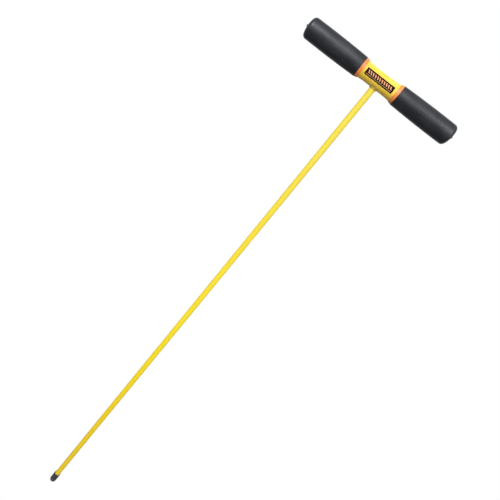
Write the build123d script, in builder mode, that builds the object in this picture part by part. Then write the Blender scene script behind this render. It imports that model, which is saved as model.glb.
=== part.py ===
"""A soil probe: a solid fibreglass rod with a steel tip, pushed into the ground by a T-handle.

Millimetres, +Z up. The nose of the tip touches the origin, the rod stands along Z and the handle lies
along X. The label faces -Y, which is the front.
"""

import os
from math import sqrt

from build123d import *

os.makedirs("parts", exist_ok=True)

# Driving sizes: rod and tip
probing_length = 1219.2  # nose of the tip to the underside of the hub, four feet
rod_diameter = 12.7
rod_end_chamfer = 0.8
tip_diameter = 15.9
tip_length = 31.8
tip_socket_depth = 20.0
tip_rim_chamfer = 0.6

# Driving sizes: core of the handle
handle_length = 337.0  # over the domed ends of the grips
bar_diameter = 25.4
bar_wall = 3.2
pin_diameter = 4.8
pin_inset = 0.5  # each end of the pin lies this far under the bar's surface
plug_flange = 2.4
plug_stem_length = 14.0
plug_wall = 2.2
plug_lead = 0.8

# Driving sizes: hub and label
hub_diameter = 31.7
hub_end_diameter = 33.8
hub_length = 73.2  # the part that shows between the collars
hub_flare_length = 17.0
boss_wall = 0.7
boss_drop = 2.4
boss_fillet = 1.7
boss_edge = 0.4
label_length = 62.0
label_height = 12.6
label_drop = 1.4  # the label sits this far below the handle's axis
label_corner = 0.8
label_thickness = 0.25

# Driving sizes: collars and grips
collar_width = 6.4
collar_lap = 2.5  # how far a collar covers the end of the hub
collar_hub_diameter = 35.6
collar_grip_diameter = 38.6
collar_edge = 0.4
grip_mouth_diameter = 39.3
grip_diameter = 41.8
grip_widest = 79.0  # from the grip's mouth to its fullest place
grip_mouth_edge = 0.8
grip_rim_diameter = 41.1  # where barrel and dome would meet, had the corner no rounding
grip_dome_height = 4.6
grip_corner = 8.0
grip_end_wall = 9.0
nub_diameter = 4.2
nub_height = 1.7
nub_edge = 0.4

# Fits
bond_gap = 0.25  # thickness of the cured adhesive
slip_fit = 0.1  # radial room between pieces that slide over each other

# Places worked out from the sizes above
rod_radius = rod_diameter / 2
tip_radius = tip_diameter / 2
bar_radius = bar_diameter / 2
bar_bore_radius = bar_radius - bar_wall
hub_radius = hub_diameter / 2
hub_end_radius = hub_end_diameter / 2
socket_radius = rod_radius + bond_gap
sleeve_radius = bar_radius + slip_fit
handle_height = probing_length + hub_radius
socket_floor = tip_length - tip_socket_depth
rod_bottom = socket_floor + bond_gap
rod_top = handle_height + sqrt(bar_radius**2 - socket_radius**2)
boss_bottom = probing_length - boss_drop
collar_start = hub_length / 2
hub_end = collar_start + collar_lap
grip_start = collar_start + collar_width
handle_end = handle_length / 2
grip_floor = handle_end - grip_end_wall
bar_end = grip_floor - plug_flange
pin_half = bar_radius - pin_inset

# The rod's axis is Z. These two planes stand on the handle's axis: one cuts lengthwise through the
# handle and faces the front, the other cuts straight across it.
lengthwise = Plane(origin=(0, 0, handle_height), x_dir=(1, 0, 0), z_dir=(0, -1, 0))
across = Plane(origin=(0, 0, handle_height), x_dir=(0, 1, 0), z_dir=(1, 0, 0))
handle_axis = Axis((0, 0, handle_height), (1, 0, 0))


# Rod: a solid bar, chamfered at both ends and drilled across for the pin
with BuildPart() as probe_rod:
    with BuildSketch(Plane.XY.offset(rod_bottom)):
        Circle(rod_radius)
    extrude(amount=rod_top - rod_bottom)
    chamfer(probe_rod.edges().filter_by(GeomType.CIRCLE), length=rod_end_chamfer)
    with BuildSketch(lengthwise):
        Circle(pin_diameter / 2)
    extrude(amount=bar_radius, both=True, mode=Mode.SUBTRACT)

# Tip: a turned steel cup with a round nose
with BuildPart() as probe_tip:
    with BuildSketch(Plane.XZ):
        with BuildLine():
            nose = RadiusArc((0, 0), (tip_radius, tip_radius), -tip_radius)
            Polyline(
                nose @ 1,
                (tip_radius, tip_length - tip_rim_chamfer),
                (tip_radius - tip_rim_chamfer, tip_length),
                (socket_radius, tip_length),
                (socket_radius, socket_floor),
                (0, socket_floor),
                nose @ 0,
            )
        make_face()
    revolve(axis=Axis.Z)

# Adhesive in the tip: a thin cup round the end of the rod
with BuildPart() as tip_bond:
    with BuildSketch(Plane.XZ):
        with BuildLine():
            Polyline(
                (0, socket_floor),
                (socket_radius, socket_floor),
                (socket_radius, tip_length),
                (rod_radius, tip_length),
                (rod_radius, rod_bottom + rod_end_chamfer),
                (rod_radius - rod_end_chamfer, rod_bottom),
                (0, rod_bottom),
                close=True,
            )
        make_face()
    revolve(axis=Axis.Z)

# Crossbar: the stiff tube inside the handle, drilled down for the rod and across for the pin
with BuildPart() as crossbar:
    with BuildSketch(across):
        Circle(bar_radius)
        Circle(bar_bore_radius, mode=Mode.SUBTRACT)
    extrude(amount=bar_end, both=True)
    with BuildSketch(Plane.XY.offset(handle_height)):
        Circle(socket_radius)
    extrude(amount=bar_diameter, both=True, mode=Mode.SUBTRACT)
    with BuildSketch(lengthwise):
        Circle(pin_diameter / 2)
    extrude(amount=bar_diameter, both=True, mode=Mode.SUBTRACT)

# Pin: holds the rod in the crossbar against a pull
with BuildPart() as rod_pin:
    with BuildSketch(lengthwise):
        Circle(pin_diameter / 2)
    extrude(amount=pin_half, both=True)
    chamfer(rod_pin.edges().filter_by(GeomType.CIRCLE), length=pin_inset)


def hub_outline(proud):
    """Half of the hub's lengthwise outline, from its middle to one end, raised by the given height."""
    with BuildSketch(lengthwise) as outline:
        with BuildLine():
            flare = TangentArc(
                (collar_start - hub_flare_length, hub_radius + proud),
                (collar_start, hub_end_radius + proud),
                tangent=(1, 0),
            )
            Polyline(
                flare @ 1,
                (hub_end, hub_end_radius + proud),
                (hub_end, 0),
                (0, 0),
                (0, hub_radius + proud),
                flare @ 0,
            )
        make_face()
    return outline.sketch


# Hub: a moulded sleeve over the crossbar, flared at both ends, with a filleted boss for the rod
with BuildPart() as t_hub:
    revolve(hub_outline(0), axis=handle_axis)
    mirror(about=Plane.YZ)
    with BuildSketch(Plane.XY.offset(boss_bottom)):
        Circle(socket_radius + boss_wall)
    extrude(amount=handle_height - boss_bottom)
    crease = t_hub.edges(Select.LAST).filter_by(lambda edge: edge.center().Z > boss_bottom + boss_edge)
    fillet(crease, radius=boss_fillet)
    chamfer(t_hub.edges().group_by(Axis.Z)[0], length=boss_edge)
    with BuildSketch(across):
        Circle(sleeve_radius)
    extrude(amount=hub_end, both=True, mode=Mode.SUBTRACT)
    with BuildSketch(Plane.XY.offset(boss_bottom)):
        Circle(socket_radius)
    extrude(amount=handle_height - boss_bottom, mode=Mode.SUBTRACT)

# Adhesive in the hub: a sleeve round the rod, from the mouth of the boss to the top of the rod
with BuildPart() as rod_bond:
    with BuildSketch(Plane.XY.offset(boss_bottom)):
        Circle(socket_radius)
        Circle(rod_radius, mode=Mode.SUBTRACT)
    extrude(amount=rod_top - rod_end_chamfer - boss_bottom)
    with BuildSketch(lengthwise):
        Circle(pin_diameter / 2)
    extrude(amount=bar_radius, both=True, mode=Mode.SUBTRACT)

# Label: a thin patch that follows the front of the hub
with BuildPart() as label:
    revolve(hub_outline(label_thickness), axis=handle_axis)
    revolve(hub_outline(0), axis=handle_axis, mode=Mode.SUBTRACT)
    mirror(about=Plane.YZ)
    with BuildSketch(lengthwise):
        with Locations((0, -label_drop)):
            RectangleRounded(label_length, label_height, label_corner)
    extrude(amount=hub_diameter, mode=Mode.INTERSECT)

# Collars, grips and end plugs: each is turned about the handle's axis, once for each hand
with BuildPart() as collar_right:
    with BuildSketch(lengthwise):
        with BuildLine():
            Polyline(
                (collar_start, hub_end_radius + slip_fit),
                (collar_start, collar_hub_diameter / 2),
                (grip_start, collar_grip_diameter / 2),
                (grip_start, sleeve_radius),
                (hub_end, sleeve_radius),
                (hub_end, hub_end_radius + slip_fit),
                close=True,
            )
        make_face()
    revolve(axis=handle_axis)
    lips = collar_right.edges().filter_by(GeomType.CIRCLE).sort_by(SortBy.RADIUS)
    chamfer(lips[-2:], length=collar_edge)

with BuildPart() as grip_right:
    with BuildSketch(lengthwise) as grip_profile:
        with BuildLine():
            barrel = ThreePointArc(
                (grip_start, grip_mouth_diameter / 2),
                (grip_start + grip_widest, grip_diameter / 2),
                (handle_end - grip_dome_height, grip_rim_diameter / 2),
            )
            dome = TangentArc((handle_end, 0), barrel @ 1, tangent=(0, 1))
            Polyline(dome @ 0, (grip_start, 0), barrel @ 0)
        make_face()
        fillet(grip_profile.vertices().sort_by_distance(barrel @ 1)[0], radius=grip_corner)
        chamfer(grip_profile.vertices().sort_by_distance(barrel @ 0)[0], length=grip_mouth_edge)
    revolve(axis=handle_axis)
    with BuildSketch(across.offset(handle_end - nub_height)):
        Circle(nub_diameter / 2)
    extrude(amount=2 * nub_height)
    chamfer(grip_right.edges().group_by(Axis.X)[-1], length=nub_edge)
    with BuildSketch(across.offset(grip_start)):
        Circle(sleeve_radius)
    extrude(amount=grip_floor - grip_start, mode=Mode.SUBTRACT)

with BuildPart() as bar_plug_right:
    with BuildSketch(lengthwise):
        with BuildLine():
            Polyline(
                (grip_floor, 0),
                (grip_floor, bar_radius),
                (bar_end, bar_radius),
                (bar_end, bar_bore_radius - slip_fit),
                (bar_end - plug_stem_length + plug_lead, bar_bore_radius - slip_fit),
                (bar_end - plug_stem_length, bar_bore_radius - slip_fit - plug_lead),
                (bar_end - plug_stem_length, bar_bore_radius - slip_fit - plug_wall),
                (bar_end, bar_bore_radius - slip_fit - plug_wall),
                (bar_end, 0),
                close=True,
            )
        make_face()
    revolve(axis=handle_axis)

with BuildPart() as collar_left:
    mirror(collar_right.part, about=Plane.YZ)

with BuildPart() as grip_left:
    mirror(grip_right.part, about=Plane.YZ)

with BuildPart() as bar_plug_left:
    mirror(bar_plug_right.part, about=Plane.YZ)

# Each piece goes into a file of its own name
pieces = {
    "probe_rod": probe_rod,
    "probe_tip": probe_tip,
    "tip_bond": tip_bond,
    "crossbar": crossbar,
    "rod_pin": rod_pin,
    "t_hub": t_hub,
    "rod_bond": rod_bond,
    "label": label,
    "collar_left": collar_left,
    "collar_right": collar_right,
    "grip_left": grip_left,
    "grip_right": grip_right,
    "bar_plug_left": bar_plug_left,
    "bar_plug_right": bar_plug_right,
}
for name, piece in pieces.items():
    piece.part.label = name
    export_step(piece.part, f"parts/{name}.step")
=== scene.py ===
# %% [markdown]
# # A soil probe, dressed piece by piece
#
# A soil probe is a long rod with a steel tip that is pushed into the ground by hand to feel for stones,
# pipes and soft places. This one has a T-handle: a yellow hub on a fibreglass rod, an orange collar at each
# end of the hub, and a black rubber grip on each side.
#
# The solid model of the probe is already built to size, so this lesson starts by loading it as a fixed
# frame. Everything below is in metres and in that same frame: the nose of the tip touches the origin, the
# rod stands along Z, the handle lies along X, and the label faces -Y.

# %% Load the frame
from math import radians

import bmesh
import bpy
import numpy as np
from mathutils import Matrix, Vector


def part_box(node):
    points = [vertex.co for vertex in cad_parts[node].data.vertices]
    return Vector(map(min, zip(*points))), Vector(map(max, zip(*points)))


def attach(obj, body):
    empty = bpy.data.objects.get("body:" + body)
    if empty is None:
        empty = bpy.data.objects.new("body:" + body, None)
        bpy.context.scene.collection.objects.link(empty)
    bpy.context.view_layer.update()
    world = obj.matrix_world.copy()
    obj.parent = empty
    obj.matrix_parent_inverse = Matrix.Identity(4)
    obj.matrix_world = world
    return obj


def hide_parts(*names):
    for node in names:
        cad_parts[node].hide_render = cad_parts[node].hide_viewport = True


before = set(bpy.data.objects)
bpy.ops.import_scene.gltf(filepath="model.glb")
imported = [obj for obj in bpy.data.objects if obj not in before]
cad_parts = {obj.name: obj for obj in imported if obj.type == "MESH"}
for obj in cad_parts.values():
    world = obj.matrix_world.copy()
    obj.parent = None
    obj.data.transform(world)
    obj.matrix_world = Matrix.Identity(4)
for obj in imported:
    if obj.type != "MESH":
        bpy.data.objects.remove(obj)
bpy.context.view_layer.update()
print("solid pieces:", sorted(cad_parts))

# %% [markdown]
# ## Sizes that every piece shares
#
# Most sizes can be read off the boxes of the solid pieces, so a change in the solid model carries over.
# The crossbar inside the handle gives the height of the handle's axis, and the ends of the hub, the collars
# and the grips follow from their own boxes. Small roundings can't be read off a box, so they are named
# where they are first needed.

# %% Read the shared sizes
MM = 0.001
slip_fit = 0.1 * MM  # the gap between two pieces where one slides over the other


def box_of(node):
    """The lowest and the highest corner of a solid piece, as two arrays."""
    low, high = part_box(node)
    return np.array(low), np.array(high)


bar_low, bar_high = box_of("crossbar")
handle_height = (bar_low[2] + bar_high[2]) / 2
bar_radius = (bar_high[2] - bar_low[2]) / 2
sleeve_radius = bar_radius + slip_fit
hub_low, hub_high = box_of("t_hub")
hub_end = hub_high[0]
boss_bottom = hub_low[2] - handle_height
collar_start, grip_start = (corner[0] for corner in box_of("collar_right"))
grip_tip = box_of("grip_right")[1][0]
grip_floor = box_of("bar_plug_right")[1][0]
print("handle axis at", round(handle_height, 4), "m, hub end at", round(hub_end, 5), "m")
print("grip from", round(grip_start, 4), "to", round(grip_tip, 4), "m")

# %% [markdown]
# ## From a grid of points to a piece
#
# Nearly every visible part of the probe is turned or moulded round an axis, so each is worked out as a grid
# of points: one direction goes round the axis, the other follows an outline. Modelling by hand with a Screw
# modifier would do too, but a formula keeps each outline exact and easy to change. The grid is joined with
# quads, points that fall together at a pole or a seam are merged, and all faces are turned outwards.

# %% Helpers that make a mesh and set it in the frame
MERGE = 0.5e-6
SHARP_ANGLE = radians(38)


def skin(name, points, closing=False):
    """Joins a grid of points (rows, columns, 3) with quads. Each row is a ring round the piece. Where
    closing is true for a column, its last row is also joined to its first, as on an outline that is a
    loop."""
    rows, columns, _ = points.shape
    index = np.arange(rows * columns).reshape(rows, columns)
    following = np.roll(index, -1, axis=1)
    quads = np.stack([index[:-1], following[:-1], following[1:], index[1:]], axis=-1).reshape(-1, 4)
    loops = np.stack([index[-1], following[-1], following[0], index[0]], axis=-1)
    quads = np.concatenate([quads, loops[np.broadcast_to(closing, columns)]])
    mesh = bpy.data.meshes.new(name)
    mesh.from_pydata(points.reshape(-1, 3).tolist(), [], quads.tolist())
    work = bmesh.new()
    work.from_mesh(mesh)
    bmesh.ops.remove_doubles(work, verts=work.verts, dist=MERGE)
    bmesh.ops.recalc_face_normals(work, faces=work.faces)
    work.to_mesh(mesh)
    work.free()
    mesh.polygons.foreach_set("use_smooth", np.ones(len(mesh.polygons), bool))
    mesh.set_sharp_from_angle(angle=SHARP_ANGLE)
    return mesh


def fit(mesh, node, material):
    """Makes a piece of the mesh with the given material, in place of a solid piece, which it hides."""
    piece = bpy.data.objects.new(mesh.name, mesh)
    bpy.context.scene.collection.objects.link(piece)
    mesh.materials.append(material)
    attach(piece, "root")
    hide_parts(node)
    size = (np.ptp([v.co for v in mesh.vertices], axis=0) / MM).round(2)
    print(f"{mesh.name}: {len(mesh.polygons)} faces, {size} mm, stands for {node}")


# %% [markdown]
# ## Outlines
#
# A turned outline is a list of (distance along the axis, radius) pairs. Its round stretches are arcs, and an
# arc is one unit direction swung into another about a centre. The same swing later rolls a ball along the
# crease between the hub and its boss, so it is written once, for directions in a plane or in space.

# %% Helpers for outlines
def swing(start, end, share):
    """Turns unit vectors start into end at an even rate: (sin((1 - t) a) start + sin(t a) end) / sin a,
    where a is the angle between them and t runs over the shares."""
    angle = np.arccos(np.clip((start * end).sum(-1, keepdims=True), -1, 1))
    t = np.reshape(share, (-1,) + (1,) * start.ndim)
    return (np.sin((1 - t) * angle) * start + np.sin(t * angle) * end) / np.sin(angle)


def arc(centre, start, end, steps):
    """Points from start to end on the circle about centre."""
    centre, start, end = map(np.array, (centre, start, end))
    radius = np.linalg.norm(start - centre)
    first, last = (start - centre) / radius, (end - centre) / radius
    return centre + radius * swing(first, last, np.linspace(0, 1, steps))


def rounded(before, corner, after, rounding, steps=7):
    """An arc in a corner. Both runs are cut back by rounding / tan(half the angle between them)."""
    before, corner, after = map(np.array, (before, corner, after))
    one = (before - corner) / np.linalg.norm(before - corner)
    two = (after - corner) / np.linalg.norm(after - corner)
    half = np.arccos(one @ two) / 2
    middle = (one + two) / np.linalg.norm(one + two)
    centre = corner + middle * rounding / np.sin(half)
    cut = rounding / np.tan(half)
    return arc(centre, corner + one * cut, corner + two * cut, steps)


def finer(outline, step):
    """Adds evenly spaced points to an outline, so that no run is longer than a step."""
    runs = np.diff(outline, axis=0)
    counts = np.ceil(np.linalg.norm(runs, axis=1) / step).astype(int).clip(1)
    run = np.repeat(np.arange(len(runs)), counts)
    share = (np.arange(counts.sum()) - np.repeat(np.cumsum(counts) - counts, counts)) / counts[run]
    return np.vstack([outline[:-1][run] + share[:, None] * runs[run], outline[-1:]])


def about_handle(along, radius, turn):
    """A point beside the handle's axis: turn 0 is straight up, and a quarter turn is the front."""
    return np.stack(
        np.broadcast_arrays(along, -radius * np.sin(turn), handle_height + radius * np.cos(turn)), axis=-1
    )


def about_rod(along, radius, turn):
    """A point beside the rod's axis at the given height: turn 0 is the front."""
    return np.stack(np.broadcast_arrays(radius * np.sin(turn), -radius * np.cos(turn), along), axis=-1)


def full_turn(steps):
    """Evenly spaced angles once round."""
    return np.linspace(0, 2 * np.pi, steps, endpoint=False)


quarter = arc((0, 0), (1, 0), (0, 1), 3)
print("a quarter arc's middle point:", quarter[1].round(4))

# %% [markdown]
# ## Writing shader maths as Python
#
# Each finish below is a small formula on the place of a point: streaks, grain, scuffs and print. Wiring Math
# nodes by hand hides such a formula, so a small class wraps a node's output. Adding, subtracting or
# multiplying two of them adds the Math node, and one method adds any other node.

# %% The class that wraps a socket
class Shade:
    """A node's output that Python expressions can use. Each operator adds one Math node to its tree."""

    def __init__(self, tree, socket):
        self.tree = tree
        self.socket = socket

    def node(self, kind, settings, sockets, output=0):
        """Adds a node of that type: first its settings, then the values or links of its sockets."""
        made = self.tree.nodes.new("ShaderNode" + kind)
        for name, value in settings.items():
            setattr(made, name, value)
        for name, value in sockets.items():
            if isinstance(value, Shade):
                self.tree.links.new(value.socket, made.inputs[name])
            else:
                made.inputs[name].default_value = value
        return Shade(self.tree, made.outputs[output])

    def maths(self, operation, *values):
        """A Math node on the given values."""
        return self.node("Math", {"operation": operation}, dict(enumerate(values)))

    def __add__(self, other):
        return self.maths("ADD", self, other)

    def __sub__(self, other):
        return self.maths("SUBTRACT", self, other)

    def __rsub__(self, other):
        return self.maths("SUBTRACT", other, self)

    def __mul__(self, other):
        return self.maths("MULTIPLY", self, other)

    def __abs__(self):
        return self.maths("ABSOLUTE", self)

    __radd__ = __add__
    __rmul__ = __mul__

    def rise(self, low, high):
        """A smooth step from 0 at low to 1 at high. With low above high it falls instead."""
        settings = {"interpolation_type": "SMOOTHSTEP"}
        return self.node("MapRange", settings, {"Value": self, "From Min": low, "From Max": high})

    def paint(self, under, over):
        """The colour under, covered by the colour over as far as this mask says."""
        return self.node("Mix", {"data_type": "RGBA"}, {0: self, 6: under, 7: over}, output=2)

    def part(self, axis):
        """One of a vector's three numbers."""
        return self.node("SeparateXYZ", {}, {"Vector": self}, output="XYZ".index(axis))

    def stretched(self, x, y, z):
        """A place with each axis scaled, which draws a pattern out along the small ones."""
        return self.node("Mapping", {}, {"Vector": self, "Scale": (x, y, z)})

    def noise(self, grain, detail=2.0, roughness=0.5):
        """Noise from 0 to 1 with grains of about that size in metres."""
        return self.node(
            "TexNoise", {}, {"Vector": self, "Scale": 1 / grain, "Detail": detail, "Roughness": roughness}
        )

    def bump(self, depth):
        """A normal that follows this height, from 0 to 1, over that depth in metres."""
        return self.node("Bump", {}, {"Strength": 1.0, "Distance": depth, "Height": self})


def colour(red, green, blue):
    """A colour for a socket from its linear red, green and blue."""
    return (red, green, blue, 1.0)


def make_finish(name, recipe):
    """Makes a material. The recipe takes the place on the piece and returns the shader's socket values."""
    material = bpy.data.materials.new(name)
    material.use_nodes = True
    tree = material.node_tree
    shader = tree.nodes["Principled BSDF"]
    place = Shade(tree, tree.nodes.new("ShaderNodeTexCoord").outputs["Object"])
    for socket, value in recipe(place).items():
        if isinstance(value, Shade):
            tree.links.new(value.socket, shader.inputs[socket])
        else:
            shader.inputs[socket].default_value = value
    print(f"finish {name}: {len(tree.nodes)} nodes")
    return material


# %% [markdown]
# ## The rod's fibreglass
#
# The rod is drawn through a heated die as a bundle of glass fibres in yellow resin. Its surface shows the
# fibres as streaks that run the whole length, a satin gloss, and towards the tip the scratches, stains and
# dullness that soil leaves. Noise that is drawn out along Z makes the fibres and the scratches. Towards the
# tip the yellow turns darker, partly as wear and partly as painted shade for the light that falls off there.
# Towards the hub it is a little paler, as a painted sheen, and just under the hub a band of painted shadow
# stands for the hub's shadow. The solid rod has the right shape already, so it stays and only takes this
# finish.

# %% Finish of the rod
boss_mouth = hub_low[2]
# heights at which each change begins and at which it is full
wear_shade_from, wear_shade_full = 0.65, 0.03
soil_from, soil_full = 0.25, 0.03
sheen_from, sheen_full = 0.45, 1.15
# how far below the hub the painted shadow of the hub reaches
hub_shadow_depth = 5 * MM


def rod_fibreglass(place):
    """Fibres along Z in two yellows, cloudy patches, a paler upper half of painted sheen, scratches, soil,
    wear and painted shade towards the tip, and painted shadow under the hub."""
    height = place.part("Z")
    # mask of the wear and of the painted shade towards the tip
    wear_and_shade = height.rise(wear_shade_from, wear_shade_full)
    # mask of the painted sheen and shade on the upper part of the rod
    painted_sheen = height.rise(sheen_from, sheen_full)
    fibres = place.stretched(1, 1, 0.012).noise(0.8 * MM, 4, 0.65)
    patches = place.stretched(1, 1, 0.25).noise(14 * MM, 3)
    scratches = place.stretched(1, 1, 0.03).noise(0.4 * MM, 2).rise(0.62, 0.72)
    blots = place.stretched(1, 1, 0.4).noise(4 * MM, 5, 0.65).rise(0.5, 0.72)
    soil = height.rise(soil_from, soil_full) * blots
    # the band just under the hub that takes a painted shadow of the hub
    grime_and_shade = height.rise(boss_mouth - hub_shadow_depth, boss_mouth)
    yellow = fibres.rise(0.3, 0.7).paint(colour(0.66, 0.505, 0.008), colour(0.79, 0.635, 0.019))
    yellow = (patches.rise(0.35, 0.7) * 0.35).paint(yellow, colour(0.74, 0.54, 0.010))
    # painted sheen and shade: the upper part is toned paler and a little darker, for its gloss and its light
    yellow = (0.5 * painted_sheen).paint(yellow, colour(0.70, 0.555, 0.065))
    yellow = (scratches * (0.15 + 0.35 * wear_and_shade)).paint(yellow, colour(0.82, 0.66, 0.20))
    # darker yellow towards the tip: wear, and painted shade for the light that falls off there
    yellow = (wear_and_shade * (0.33 + 0.3 * patches)).paint(yellow, colour(0.54, 0.31, 0.006))
    yellow = (0.4 * soil).paint(yellow, colour(0.25, 0.16, 0.06))
    # painted shadow of the hub on the top of the rod
    yellow = (0.2 * grime_and_shade).paint(yellow, colour(0.30, 0.19, 0.02))
    return {
        "Base Color": yellow,
        "Diffuse Roughness": 0.5,
        "Roughness": 0.30 + 0.16 * fibres + 0.2 * (wear_and_shade * scratches) + 0.15 * soil,
        "Specular IOR Level": 0.42,
        "Normal": (fibres - 0.5 * scratches).bump(0.03 * MM),
    }


rod_finish = make_finish("rod_fibreglass", rod_fibreglass)
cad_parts["probe_rod"].data.materials[0] = rod_finish

# %% [markdown]
# ## The steel tip
#
# The tip is a turned steel cup glued over the end of the rod, a little fatter than the rod so that the hole
# it makes is wide enough. Its outline runs from the round nose up the wall, over a broken edge, and down
# into the socket. The finish is a black oxide: dark and dull, rubbed grey where soil polishes the nose,
# with fine rings from the lathe.

# %% Finish of the tip
_, tip_radius, tip_length = box_of("probe_tip")[1]


def tip_steel(place):
    """Dark oxide over steel, with rings from the lathe, scratches along the rod, a nose that is rubbed
    bright and bare steel at the edge of the socket."""
    height = place.part("Z")
    rings = place.stretched(0.02, 0.02, 1).noise(0.3 * MM, 3)
    cloud = place.noise(3 * MM, 4, 0.6)
    scratches = place.stretched(1, 1, 0.05).noise(0.35 * MM, 2).rise(0.58, 0.7)
    nicks = place.noise(0.7 * MM, 3, 0.65).rise(0.63, 0.72)
    rubbed = height.rise(0.6 * tip_length, 0.05 * tip_length) * cloud.rise(0.3, 0.62)
    edge = height.rise(tip_length - 1.0 * MM, tip_length - 0.5 * MM) * cloud.rise(0.4, 0.6)
    steel = cloud.rise(0.3, 0.7).paint(colour(0.040, 0.039, 0.039), colour(0.074, 0.072, 0.071))
    steel = (0.85 * rubbed).paint(steel, colour(0.30, 0.295, 0.29))
    steel = (scratches * (0.2 + 0.5 * cloud)).paint(steel, colour(0.25, 0.245, 0.24))
    steel = (0.4 * nicks).paint(steel, colour(0.26, 0.25, 0.24))
    steel = (0.6 * edge).paint(steel, colour(0.30, 0.295, 0.29))
    return {
        "Base Color": steel,
        "Metallic": 0.45 + 0.4 * rubbed,
        "Roughness": 0.46 - 0.12 * rubbed + 0.1 * rings - 0.06 * scratches,
        "Normal": (1.3 * rings + 0.5 * cloud - 0.6 * scratches - 0.6 * nicks).bump(0.05 * MM),
    }


tip_finish = make_finish("tip_steel", tip_steel)

# %% Shape of the tip
TIP_TURNS = 96
socket_radius = box_of("tip_bond")[1][1]
socket_floor = box_of("tip_bond")[0][2]
broken_edge = 0.6 * MM
edge_rounding = 0.3 * MM
mouth_rounding = 0.2 * MM

wall_top = (tip_length - broken_edge, tip_radius)
rim_outer = (tip_length, tip_radius - broken_edge)
rim_inner = (tip_length, socket_radius)
floor_edge = (socket_floor, socket_radius)
tip_outline = np.vstack([
    arc((tip_radius, 0), (0, 0), (tip_radius, tip_radius), 24),
    rounded((tip_radius, tip_radius), wall_top, rim_outer, edge_rounding, 4),
    rounded(wall_top, rim_outer, rim_inner, edge_rounding, 4),
    rounded(rim_outer, rim_inner, floor_edge, mouth_rounding, 4),
    [floor_edge, (socket_floor, 0)],
])
along, radius = finer(tip_outline, 1.5 * MM).T[:, :, None]
probe_tip = skin("steel_tip", about_rod(along, radius, full_turn(TIP_TURNS)))
fit(probe_tip, "probe_tip", tip_finish)

# %% [markdown]
# ## The moulded hub
#
# The hub joins the rod to the handle: a yellow sleeve over the crossbar, flared at both ends, with a short
# boss below where the rod goes in. The crease between sleeve and boss is rounded. A modelled fillet is a
# ball of one radius rolled along the crease: its centre stays one ball radius away from both surfaces, so
# it lies on the circle of radius boss + ball about the rod and at the distance sleeve + ball from the
# handle's axis. The two touching points then lie straight towards the two axes, and the fillet is the swing
# from one to the other. The whole hub is one grid: one direction goes round the rod, the other follows the
# sleeve's bore, the rod's hole, the boss, the fillet and the outside.

# %% Finish of the hub
# radii and fade of the painted shadow round the boss
crease_inner = 7.5 * MM
crease_outer = 9.0 * MM
crease_fade = 1.2 * MM


def hub_moulding(place):
    """Yellow polymer with a sparked grain over slow flow marks, a parting line along the top and the bottom,
    rubs along the handle, painted shade at the ends beside the collars and painted shadow round the boss."""
    x, y, z = (place.part(axis) for axis in "XYZ")
    grain = place.noise(0.7 * MM, 3, 0.6)
    flow = place.stretched(0.35, 1, 1).noise(9 * MM, 3)
    rubs = place.stretched(0.1, 1, 1).noise(0.5 * MM, 2).rise(0.62, 0.72)
    parting = abs(y).rise(0.30 * MM, 0.12 * MM)
    # mask of the painted shade on the sleeve next to each collar
    ends = abs(x).rise(hub_end - 6.5 * MM, hub_end - 2 * MM)
    # painted shadow of the sleeve on the boss and its fillet: a dark ring, less dark at the boss's foot
    beside_rod = (x * x + y * y).rise(crease_outer**2, crease_inner**2) * z.rise(handle_height, boss_mouth)
    crease_shade = beside_rod * (0.3 + 0.7 * z.rise(boss_mouth, boss_mouth + crease_fade))
    yellow = flow.rise(0.3, 0.7).paint(colour(0.765, 0.502, 0.042), colour(0.845, 0.582, 0.064))
    yellow = (0.25 * grain.rise(0.55, 0.75)).paint(yellow, colour(0.67, 0.425, 0.035))
    yellow = (0.25 * rubs).paint(yellow, colour(0.90, 0.72, 0.28))
    # painted shade beside the collars, broken up by the flow marks
    yellow = (0.5 * (ends * flow)).paint(yellow, colour(0.55, 0.33, 0.05))
    # painted shadow round the boss
    yellow = (crease_shade * (0.68 + 0.25 * flow)).paint(yellow, colour(0.20, 0.115, 0.012))
    return {
        "Base Color": yellow,
        "Diffuse Roughness": 0.5,
        "Roughness": 0.38 + 0.18 * grain - 0.08 * rubs,
        "Specular IOR Level": 0.45,
        "Normal": (grain + 0.5 * flow + 0.8 * parting).bump(0.035 * MM),
    }


hub_finish = make_finish("hub_moulding", hub_moulding)

# %% Shape of the hub
HUB_TURNS = 384  # a multiple of 8, so that rays meet the corners of the unrolled sleeve
hub_radius = 15.85 * MM
flare_length = 17.0 * MM
flare_rise = (hub_high[2] - handle_height) - hub_radius
boss_wall = 0.7 * MM
boss_radius = socket_radius + boss_wall
boss_edge = 0.4 * MM
ball = 1.7 * MM
ROUND_OFF = 1e-9

turn = full_turn(HUB_TURNS)
east, north = np.cos(turn), np.sin(turn)


def hub_radius_at(x):
    """The sleeve's radius: even, then an arc that rises by flare_rise over flare_length up to the collar."""
    bend = (flare_length**2 + flare_rise**2) / (2 * flare_rise)
    into = np.clip(np.abs(x) - (collar_start - flare_length), 0, flare_length)
    return hub_radius + bend - np.sqrt(bend**2 - into**2)


def unrolled(hole_x, hole_y, hole_radius, radius_at, steps):
    """The sleeve outside a hole, as rays on its unrolled sheet. A ray starts at the hole's rim and ends on
    the sheet's border: at an end of the sleeve, or at the seam along the top where both borders meet."""
    share = np.linspace(0, 1, steps)[:, None]
    start = np.stack([hole_x / hub_end, np.arcsin(hole_y / hole_radius) / np.pi])
    border = np.stack([east, north]) / np.maximum(np.abs(east), np.abs(north))
    x, half_turns = start[:, None] + share * (border - start)[:, None]
    x, radius, angle = x * hub_end, radius_at(x * hub_end), np.pi * half_turns
    return np.stack([x, radius * np.sin(angle), -radius * np.cos(angle)], -1)


def ring(radius, height):
    """One row round the rod's axis at an even height."""
    return np.stack([radius * east, radius * north, np.full_like(turn, height)], -1)


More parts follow.
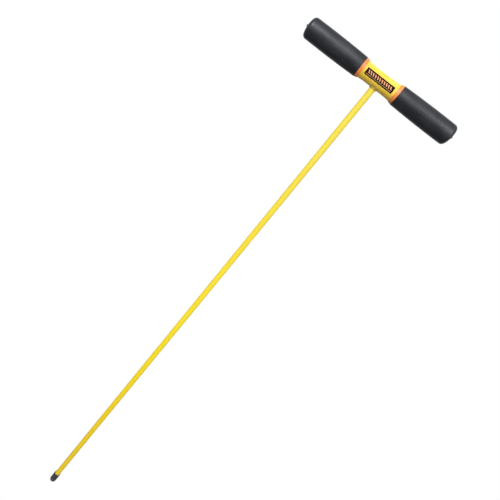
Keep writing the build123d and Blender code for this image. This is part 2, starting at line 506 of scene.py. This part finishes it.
ball_y = (boss_radius + ball) * north
ball_drop = np.sqrt((hub_radius + ball) ** 2 - ball_y**2)
ball_centre = np.stack([(boss_radius + ball) * east, ball_y, -ball_drop], -1)
to_boss = np.stack([-east, -north, 0 * turn], -1)
to_sleeve = np.stack([0 * turn, -ball_y, ball_drop], -1) / (hub_radius + ball)
fillet = ball_centre + ball * swing(to_boss, to_sleeve, np.linspace(0, 1, 14))

hole_x, hole_y = socket_radius * east, socket_radius * north
bore = unrolled(hole_x, hole_y, sleeve_radius, lambda x: sleeve_radius + 0 * x, 20)
sleeve = unrolled(fillet[-1, :, 0], fillet[-1, :, 1], hub_radius, hub_radius_at, 56)
foot = rounded((socket_radius, boss_bottom), (boss_radius, boss_bottom), (boss_radius, 0), boss_edge)
boss = np.stack([ring(socket_radius, boss_bottom)] + [ring(*point) for point in foot])
hub_points = np.concatenate([bore[::-1], boss, fillet, sleeve[1:]]) + (0, 0, handle_height)
at_an_end = np.abs(east) >= np.abs(north) - ROUND_OFF
same_end = at_an_end & np.roll(at_an_end, -1) & (east * np.roll(east, -1) > 0)
hub = skin("tee_hub", hub_points, closing=same_end)
fit(hub, "t_hub", hub_finish)

# %% [markdown]
# ## The label
#
# A thin dark film is stuck on the front of the hub. Its sheet is a grid over the rounded rectangle, where
# each row is as long as the rectangle is wide at that height, pressed onto the sleeve. It holds a plain row
# of slanted stripes over a thin rule, which the finish prints from the place alone: the stripes are equal
# steps along X, leaned over by the height, and the row is cut off after a whole number of steps.

# %% Finish of the label
label_low, label_high = box_of("label")
label_middle = (label_low[2] + label_high[2]) / 2
stripe_count = 11
stripe_pitch = 5.0 * MM
stripe_lean = 0.45
stripe_half = 0.24  # half a stripe's width over the pitch
stripes_middle = label_middle + 0.9 * MM
stripes_rise = 2.9 * MM
rule_middle = label_middle - 4.0 * MM
rule_rise = 0.4 * MM
rule_reach = 28.4 * MM
ink_edge = 0.25 * MM
rule_edge = 0.3 * MM


def label_film(place):
    """Broad slanted stripes over a thin rule, in ink rubbed thin in places, on a black film with fine
    scratches.
    """
    x, z = place.part("X"), place.part("Z")
    height = z - stripes_middle
    step = (x + stripe_lean * height) * (1 / stripe_pitch)
    within = abs(step.maths("FRACT", step + 0.5) - 0.5)
    row = abs(height).rise(stripes_rise, stripes_rise - ink_edge)
    row = row * abs(step).rise(stripe_count / 2, stripe_count / 2 - 0.1)
    stripes = row * within.rise(stripe_half + 0.02, stripe_half - 0.02)
    rule = abs(z - rule_middle).rise(rule_rise, 0.6 * rule_rise)
    rule = rule * abs(x).rise(rule_reach, rule_reach - rule_edge)
    print_mask = stripes + rule
    speckle = place.noise(0.35 * MM, 3, 0.65)
    scratches = place.stretched(0.08, 1, 1).noise(0.25 * MM, 2).rise(0.64, 0.74)
    ink = rule.paint(colour(0.70, 0.315, 0.15), colour(0.60, 0.38, 0.20))
    film = speckle.paint(colour(0.006, 0.0016, 0.0005), colour(0.014, 0.005, 0.002))
    film = (print_mask * (1 - 0.35 * speckle.rise(0.55, 0.75))).paint(film, ink)
    film = (0.2 * scratches).paint(film, colour(0.08, 0.06, 0.05))
    return {
        "Base Color": film,
        "Roughness": 0.45 + 0.15 * speckle,
        "Specular IOR Level": 0.06,
        "Normal": (0.5 * print_mask + 0.3 * speckle - 0.4 * scratches).bump(0.01 * MM),
    }


label_finish = make_finish("label_film", label_film)

# %% Shape of the label
label_corner = 0.8 * MM
label_thickness = 0.25 * MM
half_length = label_high[0]
half_height = label_high[2] - label_middle


def label_sheet(raised):
    """One side of the film: rows of even height, pressed on the hub's sleeve and raised by that much."""
    height = half_height * np.sin(np.linspace(-np.pi / 2, np.pi / 2, 41))[:, None]
    into_corner = np.clip(np.abs(height) - (half_height - label_corner), 0, label_corner)
    reach = half_length - label_corner + np.sqrt(label_corner**2 - into_corner**2)
    x = reach * np.sin(np.linspace(-np.pi / 2, np.pi / 2, 61))
    radius = hub_radius_at(x) + raised
    level = label_middle + height - handle_height
    return np.stack(np.broadcast_arrays(x, -np.sqrt(radius**2 - level**2), handle_height + level), -1)


face = label_sheet(label_thickness)
back = label_sheet(0)[:, ::-1]
film = np.concatenate([face, back], axis=1)
pressed = (film + film[:, ::-1]) / 2
label = skin("label_patch", np.concatenate([pressed[:1], film, pressed[-1:]]))
fit(label, "label", label_finish)

# %% [markdown]
# ## The collars
#
# An orange collar closes the gap between the hub and each grip. It widens towards the grip and laps over
# the flared end of the hub. Its outline is a loop of straight runs with rounded outer corners, so the grid
# closes on itself in both directions, as a ring does.

# %% Finish of the collars
def collar_moulding(place):
    """Orange polymer with a fine grain, rings from its mould, rubbed streaks, and a darker band beside the
    grip.
    """
    grain = place.noise(0.6 * MM, 3, 0.6)
    cloud = place.noise(6 * MM, 3)
    rings = place.stretched(1, 0.02, 0.02).noise(0.45 * MM, 2)
    rubs = place.stretched(1, 0.12, 0.12).noise(0.4 * MM, 2).rise(0.6, 0.72)
    grime_and_shade = abs(place.part("X")).rise(grip_start - 1.2 * MM, grip_start) * cloud
    orange = cloud.rise(0.3, 0.7).paint(colour(0.70, 0.207, 0.042), colour(0.80, 0.270, 0.064))
    orange = (0.25 * rubs).paint(orange, colour(0.86, 0.44, 0.19))
    orange = (0.7 * grime_and_shade).paint(orange, colour(0.20, 0.065, 0.02))
    return {
        "Base Color": orange,
        "Diffuse Roughness": 0.3,
        "Roughness": 0.34 + 0.16 * grain,
        "Specular IOR Level": 0.45,
        "Normal": (grain + 0.8 * rings + 0.4 * rubs).bump(0.03 * MM),
    }


collar_finish = make_finish("collar_moulding", collar_moulding)

# %% Shape of the collars
COLLAR_TURNS = 128
collar_edge = 0.4 * MM
lap_edge = 0.15 * MM
lap_radius = hub_high[2] - handle_height + slip_fit
mouth = (collar_start, lap_radius)
collar_radius_at_hub = 17.8 * MM
collar_radius_at_grip = 19.3 * MM
hub_side = (collar_start, collar_radius_at_hub)
grip_side = (grip_start, collar_radius_at_grip)
grip_bore = (grip_start, sleeve_radius)
lap_bore = (hub_end, sleeve_radius)
lap_floor = (hub_end, lap_radius)
collar_outline = finer(np.vstack([
    rounded(lap_floor, mouth, hub_side, lap_edge, 4),
    rounded(mouth, hub_side, grip_side, collar_edge),
    rounded(hub_side, grip_side, grip_bore, collar_edge),
    [grip_bore, lap_bore, lap_floor],
]), 0.8 * MM)
for side, hand in ((-1, "left"), (1, "right")):
    along, radius = collar_outline.T[:, :, None]
    rings = about_handle(side * along, radius, full_turn(COLLAR_TURNS))
    collar = skin(f"{hand}_collar", rings, closing=True)
    fit(collar, f"collar_{hand}", collar_finish)

# %% [markdown]
# ## The rubber grips
#
# Each grip is a closed rubber tube: barrel shaped, widest a little past its middle, with a shallow dome at
# the end, a large soft corner and the small nub that the mould's gate leaves. The barrel is one wide arc
# through three points and the dome another, and the corner is a circle that touches both from inside: its
# centre is where two circles meet, each smaller than its arc by the corner's radius. The mould also leaves
# a faint bead where its halves part, along the top and the bottom, and rubber never comes out quite even,
# so the radius is lowered by a little bead height and a slow ripple.

# %% Finish of the grips
# distances from the middle of the handle at which each change begins and at which it is full
palm_near = (0.055, 0.090)
palm_far = (0.165, 0.130)
corner_from, corner_full = 0.148, 0.163


def grip_rubber(place):
    """Black rubber with a grain of raised pebbles, dust in the hollows between them, scuffs along the grip,
    grey wear at the outer corner, and a smoother skin where hands rub it."""
    reach = abs(place.part("X"))
    pebbles = {"Vector": place, "Scale": 1 / (0.9 * MM), "Smoothness": 0.5}
    hollows = place.node("TexVoronoi", {"feature": "SMOOTH_F1"}, pebbles)
    fine = place.noise(0.3 * MM, 2, 0.6)
    patches = place.stretched(0.45, 1, 1).noise(16 * MM, 4, 0.55)
    dents = place.stretched(0.6, 1, 1).noise(6 * MM, 2)
    handled = reach.rise(*palm_near) * reach.rise(*palm_far)
    dust = hollows.rise(0.3, 0.55) * patches.rise(0.4, 0.7)
    scuffs = place.stretched(0.12, 1, 1).noise(0.6 * MM, 2).rise(0.66, 0.74)
    corner_wear = reach.rise(corner_from, corner_full) * place.noise(1.6 * MM, 4, 0.65).rise(0.5, 0.68)
    black = patches.paint(colour(0.0073, 0.0080, 0.0102), colour(0.0128, 0.0138, 0.0170))
    black = (0.3 * dust).paint(black, colour(0.045, 0.045, 0.049))
    black = (0.3 * scuffs).paint(black, colour(0.070, 0.070, 0.075))
    black = (0.25 * corner_wear).paint(black, colour(0.075, 0.076, 0.080))
    return {
        "Base Color": black,
        "Roughness": 0.30 + 0.08 * fine + 0.12 * dents + 0.10 * dust - 0.05 * (handled * patches),
        "Specular IOR Level": 0.56,
        "Normal": ((1 - hollows) + 0.08 * fine + 0.5 * dents - 0.2 * scuffs).bump(0.09 * MM),
    }


grip_finish = make_finish("grip_rubber", grip_rubber)

# %% Outline of a grip
grip_radius = box_of("grip_right")[1][1]
grip_widest = grip_start + 79.0 * MM
mouth_radius = 19.65 * MM
lip_rounding = 0.8 * MM
nub_radius = 2.1 * MM
nub_edge = 0.4 * MM
nub_height = 1.7 * MM
dome_top = grip_tip - nub_height
dome_height = 4.6 * MM
rim_radius = 20.55 * MM
corner_radius = 8.0 * MM


def circle_through(*points):
    """The centre and the radius of the circle through three points. Its equal distances to them give two
    linear equations."""
    first, second, third = map(np.array, points)
    sides = np.stack([second - first, third - first])
    centre = np.linalg.solve(2 * sides, [second @ second - first @ first, third @ third - first @ first])
    return centre, np.linalg.norm(first - centre)


def circles_meet(centre, radius, other, other_radius):
    """Where two circles meet, on the right of the way from the first centre to the other."""
    way = other - centre
    distance = np.linalg.norm(way)
    way = way / distance
    reach = (distance**2 + radius**2 - other_radius**2) / (2 * distance)
    return centre + reach * way + np.sqrt(radius**2 - reach**2) * np.array([way[1], -way[0]])


def towards(centre, radius, through):
    """The point of a circle that lies beyond another point, seen from the centre."""
    return centre + radius * (through - centre) / np.linalg.norm(through - centre)


barrel, barrel_radius = circle_through(
    (grip_start, mouth_radius), (grip_widest, grip_radius), (dome_top - dome_height, rim_radius)
)
dome_radius = (dome_height**2 + rim_radius**2) / (2 * dome_height)
dome = np.array([dome_top - dome_radius, 0])
corner = circles_meet(barrel, barrel_radius - corner_radius, dome, dome_radius - corner_radius)
lip = np.array([grip_start + lip_rounding, 0])
lip[1] = barrel[1] + np.sqrt((barrel_radius - lip_rounding) ** 2 - (lip[0] - barrel[0]) ** 2)
nub_foot = np.array([dome[0] + np.sqrt(dome_radius**2 - nub_radius**2), nub_radius])
dome_end = towards(dome, dome_radius, corner)
barrel_end = towards(barrel, barrel_radius, corner)
lip_top = towards(barrel, barrel_radius, lip)
grip_outline = finer(np.vstack([
    [(grip_tip, 0)],
    rounded((grip_tip, 0), (grip_tip, nub_radius), nub_foot, nub_edge, 6),
    arc(dome, nub_foot, dome_end, 12),
    arc(corner, dome_end, barrel_end, 20)[1:],
    arc(barrel, barrel_end, lip_top, 60)[1:],
    arc(lip, lip_top, (grip_start, lip[1]), 7)[1:],
    [(grip_start, sleeve_radius), (grip_floor, sleeve_radius), (grip_floor, 0)],
]), 2 * MM)
print("barrel arc", round(barrel_radius, 3), "m, dome arc", round(dome_radius, 4), "m")
print("grip outline has", len(grip_outline), "points")

# %% Shape of the grips
GRIP_TURNS = 132
bead_height = 0.10 * MM
bead_width = 0.35 * MM
bead_reach = 4  # how many bead widths on each side get closer columns
ripple = 0.05 * MM
ripple_rates = (210, 95)  # radians along the grip for each metre, of two waves that cross
bore_fade = 3 * MM
end_fade = 6 * MM

near_bead = np.linspace(-bead_reach, bead_reach, 17) * bead_width / grip_radius
grip_turn = np.unique(np.concatenate([full_turn(GRIP_TURNS), near_bead, np.pi + near_bead]) % (2 * np.pi))
along, radius = grip_outline.T[:, :, None]
outside = np.clip((radius - sleeve_radius) / bore_fade, 0, 1) * np.clip((dome_top - along) / end_fade, 0, 1)
bead = np.exp(-((radius * np.sin(grip_turn) / bead_width) ** 2))
for side, hand in ((-1, "left"), (1, "right")):
    wave = np.sin(ripple_rates[0] * along + 2 * grip_turn + side)
    wave = wave * np.sin(ripple_rates[1] * along - 3 * grip_turn + 2 * side)
    lowered = bead_height * (1 - bead) + ripple * (1 + wave) / 2
    grip = skin(f"{hand}_grip", about_handle(side * along, radius - outside * lowered, grip_turn))
    fit(grip, f"grip_{hand}", grip_finish)

# %% [markdown]
# ## What lies inside
#
# The crossbar, its end plugs, the cross pin and the two glue lines are hidden in the finished probe, but the
# model can be taken apart, so they get true finishes too: bare fibreglass, grey plastic and amber glue.

# %% Finishes of the hidden pieces
def core_fibreglass(place):
    """Unpigmented fibreglass: pale green resin with fibres drawn out along the handle."""
    fibres = place.stretched(0.02, 1, 1).noise(0.5 * MM, 4, 0.65)
    cloud = place.stretched(0.3, 1, 1).noise(8 * MM, 3)
    return {
        "Base Color": (0.5 * fibres + 0.5 * cloud).rise(0.3, 0.7).paint(
            colour(0.38, 0.42, 0.30), colour(0.66, 0.68, 0.54)
        ),
        "Roughness": 0.42 + 0.2 * fibres,
        "Normal": fibres.bump(0.04 * MM),
    }


def adhesive(place):
    """Cured amber glue with small bubbles."""
    bubbles = place.noise(0.5 * MM, 2).rise(0.58, 0.7)
    return {
        "Base Color": bubbles.paint(colour(0.42, 0.24, 0.07), colour(0.62, 0.42, 0.18)),
        "Roughness": 0.25 + 0.3 * bubbles,
        "Normal": (1 - bubbles).bump(0.05 * MM),
    }


def plug_plastic(place):
    """Grey moulded plastic with a sparked grain."""
    grain = place.noise(0.4 * MM, 3, 0.6)
    return {
        "Base Color": place.noise(5 * MM, 3).paint(colour(0.16, 0.165, 0.17), colour(0.25, 0.255, 0.26)),
        "Roughness": 0.45 + 0.2 * grain,
        "Normal": grain.bump(0.04 * MM),
    }


hidden = {
    core_fibreglass: ("crossbar", "rod_pin"),
    adhesive: ("tip_bond", "rod_bond"),
    plug_plastic: ("bar_plug_left", "bar_plug_right"),
}
for recipe, nodes in hidden.items():
    material = make_finish(recipe.__name__, recipe)
    for node in nodes:
        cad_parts[node].data.materials[0] = material

# %% [markdown]
# ## Floor and light
#
# The probe is shown on a pale floor in a white room, with soft light from the front and above, so that the
# grips keep a long soft highlight and the underside of the hub stays darker. The room is white to the eye
# only, because an evenly white room would wash out every round shape: the probe itself is lit by a dome
# that is bright in front, less bright behind and dim below, and by soft boxes. Two of them stand high in
# front and make the highlight. One straight in front and two behind lift the shade and show in no highlight.

# %% The floor and the room
FLOOR_HALF = 30.0
floor_mesh = bpy.data.meshes.new("floor")
floor_corners = FLOOR_HALF * np.array([(-1, -1, 0), (1, -1, 0), (1, 1, 0), (-1, 1, 0)])
floor_mesh.from_pydata(floor_corners.tolist(), [], [(0, 1, 2, 3)])
floor = bpy.data.objects.new("floor", floor_mesh)
bpy.context.scene.collection.objects.link(floor)
floor.visible_diffuse = False
floor.visible_glossy = False


def pale_floor(place):
    """A floor that is lit evenly from within, so that it stays as white as the room and shows no shadow."""
    return {
        "Base Color": colour(0, 0, 0),
        "Roughness": 1.0,
        "Specular IOR Level": 0.0,
        "Emission Color": colour(1, 1, 1),
        "Emission Strength": 1.0,
    }


floor_mesh.materials.append(make_finish("pale_floor", pale_floor))

DIM_BELOW = colour(0.16, 0.165, 0.175)
PALE_BEHIND = colour(0.73, 0.75, 0.78)
BRIGHT_IN_FRONT = colour(0.86, 0.89, 0.93)
room = bpy.data.worlds.new("white_room")
bpy.context.scene.world = room
room.use_nodes = True
backdrop = room.node_tree.nodes["Background"]
eye = Shade(room.node_tree, room.node_tree.nodes.new("ShaderNodeLightPath").outputs["Is Camera Ray"])
way = eye.node("TexCoord", {}, {})
lit_side = way.part("Z").rise(-0.45, 0.1) * way.part("Y").rise(0.3, -0.3)
behind = way.part("Z").rise(-1.0, 0.1) * way.part("Y").rise(0.1, 0.7)
dome_light = lit_side.paint(behind.paint(DIM_BELOW, PALE_BEHIND), BRIGHT_IN_FRONT)
room.node_tree.links.new(eye.paint(dome_light, colour(1, 1, 1)).socket, backdrop.inputs["Color"])
bpy.context.scene.view_settings.view_transform = "Standard"
print("room is lit by", len(room.node_tree.nodes), "nodes")


# %% The soft boxes
COOL_WHITE = (0.97, 1.0, 1.04)


def soft_box(name, place, aim, width, height, power, mirrored=True):
    """A soft light of that width and height at a place, turned towards a point. One that isn't mirrored
    lights a surface without showing as a highlight on it."""
    light = bpy.data.lights.new(name, "AREA")
    light.shape = "RECTANGLE"
    light.size = width
    light.size_y = height
    light.energy = power
    light.color = COOL_WHITE
    lamp = bpy.data.objects.new(name, light)
    bpy.context.scene.collection.objects.link(lamp)
    away = np.array(place) - np.array(aim)
    away = away / np.linalg.norm(away)
    side = np.cross((0, 0, 1), away)
    side = side / np.linalg.norm(side)
    turned = np.stack([side, np.cross(away, side), away, place], axis=1)
    lamp.matrix_world = Matrix(np.vstack([turned, (0, 0, 0, 1)]).tolist())
    lamp.visible_glossy = mirrored
    print(name, "at", place)


hub_spot, rod_spot, rear_spot = (0, 0, 1.2), (0, 0, 0.8), (0, 0, 1.0)
soft_box("left_box", (-1.47, -2.55, 2.90), hub_spot, width=1.1, height=0.7, power=68)
soft_box("right_box", (1.62, -2.49, 2.85), hub_spot, width=1.1, height=0.8, power=42)
soft_box("front_box", (0.2, -3.2, 1.4), rod_spot, width=1.6, height=1.6, power=30, mirrored=False)
for side, hand, power in ((-1, "left", 48), (1, "right", 34)):
    rear_place = (side * 1.7, 2.9, 1.9)
    soft_box(f"{hand}_rear_box", rear_place, rear_spot, width=1.1, height=1.1, power=power, mirrored=False)

# %% [markdown]
# ## The camera
#
# The picture was taken from in front of the handle and a little below it, with the camera turned so that
# the rod runs from corner to corner. The three turns are taken in order: the camera starts level, looking
# along +Y, is swung about Z, tipped down, and rolled about its own line of sight. The picture is cut a
# little off the middle of the lens, which a sideways shift of the lens repeats.

# %% The camera
camera_place = (-0.02180, -0.92446, 1.05516)
swung, tipped, rolled = radians(1.953), radians(-17.004), radians(38.375)
focal_share = 0.89500  # focal length over the picture's width
cut_share = 0.0829  # how far the picture's middle lies beside the line of sight, over its width
lens = bpy.data.cameras.new("camera")
lens.sensor_fit = "HORIZONTAL"
lens.sensor_width = 36.0
lens.lens = focal_share * lens.sensor_width
lens.shift_x = cut_share
camera = bpy.data.objects.new("camera", lens)
bpy.context.scene.collection.objects.link(camera)
level = radians(90)
camera.matrix_world = (
    Matrix.Translation(camera_place)
    @ Matrix.Rotation(swung, 4, "Z")
    @ Matrix.Rotation(level + tipped, 4, "X")
    @ Matrix.Rotation(rolled, 4, "Z")
)
bpy.context.scene.camera = camera
print("camera lens", round(lens.lens, 2), "mm")
